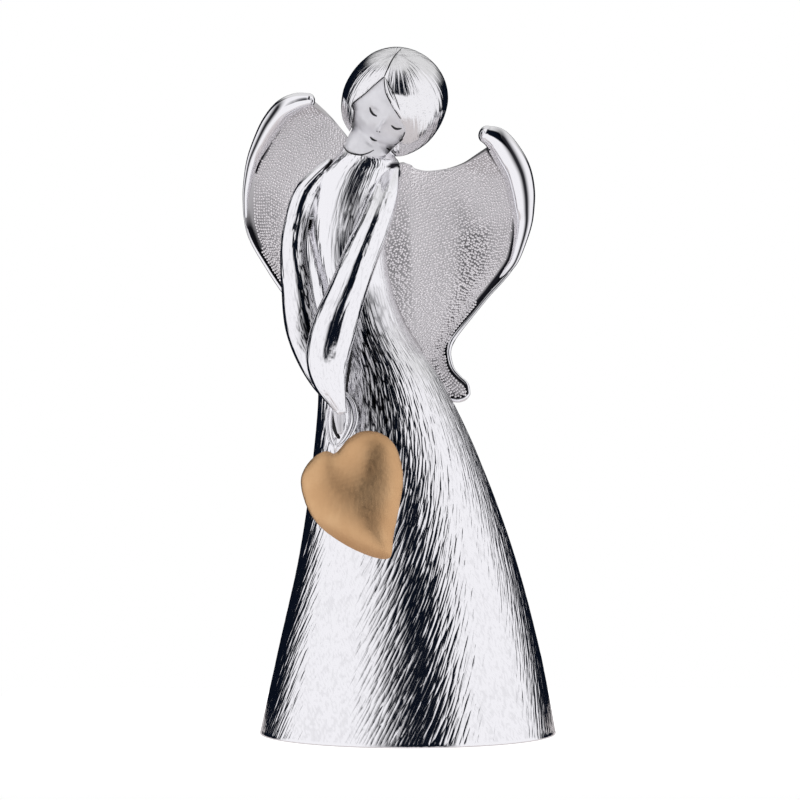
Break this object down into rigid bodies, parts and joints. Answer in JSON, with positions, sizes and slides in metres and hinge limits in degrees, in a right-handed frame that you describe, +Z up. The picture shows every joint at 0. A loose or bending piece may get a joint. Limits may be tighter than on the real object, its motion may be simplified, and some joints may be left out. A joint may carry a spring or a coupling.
{
  "type": "angel figurine",
  "caption": "Standing angel figurine with a bell-shaped dress, bowed head, swept stippled wings and a heart hanging from a ribbon loop between the cuffs.",
  "frame": {"origin": "centre of the felt underside, on the surface the figurine stands on", "axes": "+Z up, the figure faces -Y, +X to the viewer's right"},
  "size_m": [0.0913, 0.076, 0.1992],
  "materials": {
    "silver": "polished, chased in fine strokes",
    "satin_silver": "satin",
    "gold": "satin leaf",
    "steel": "turned",
    "felt": "matt",
    "plaster": "cast, matt"
  },
  "bodies": {
    "figure": {"ballast": "plaster", "base_plug": "plaster", "dress_shell": "silver", "felt_pad": "felt", "hair_cap": "silver", "hands": "satin_silver", "head": "satin_silver", "loop_pin": "steel", "neck_peg": "steel", "sleeve_left": "silver", "sleeve_left_peg": "steel", "sleeve_right": "silver", "sleeve_right_peg": "steel", "wing_left": "silver", "wing_left_peg_lower": "steel", "wing_left_peg_upper": "steel", "wing_right": "silver", "wing_right_peg_lower": "steel", "wing_right_peg_upper": "steel"},
    "loop": {"ribbon_loop": "silver"},
    "pendant": {"heart": "gold", "heart_eye": "silver"}
  },
  "joints": [
    {"name": "loop_swing", "type": "hinge", "parent": "figure", "child": "loop", "pos_m": [-0.0192, -0.0156, 0.098], "axis": [0, 1, 0], "range_deg": [-5, 5]},
    {"name": "heart_lift", "type": "hinge", "parent": "loop", "child": "pendant", "pos_m": [-0.0206, -0.021, 0.0846], "axis": [-1, 0, 0], "range_deg": [0, 20]}
  ]
}
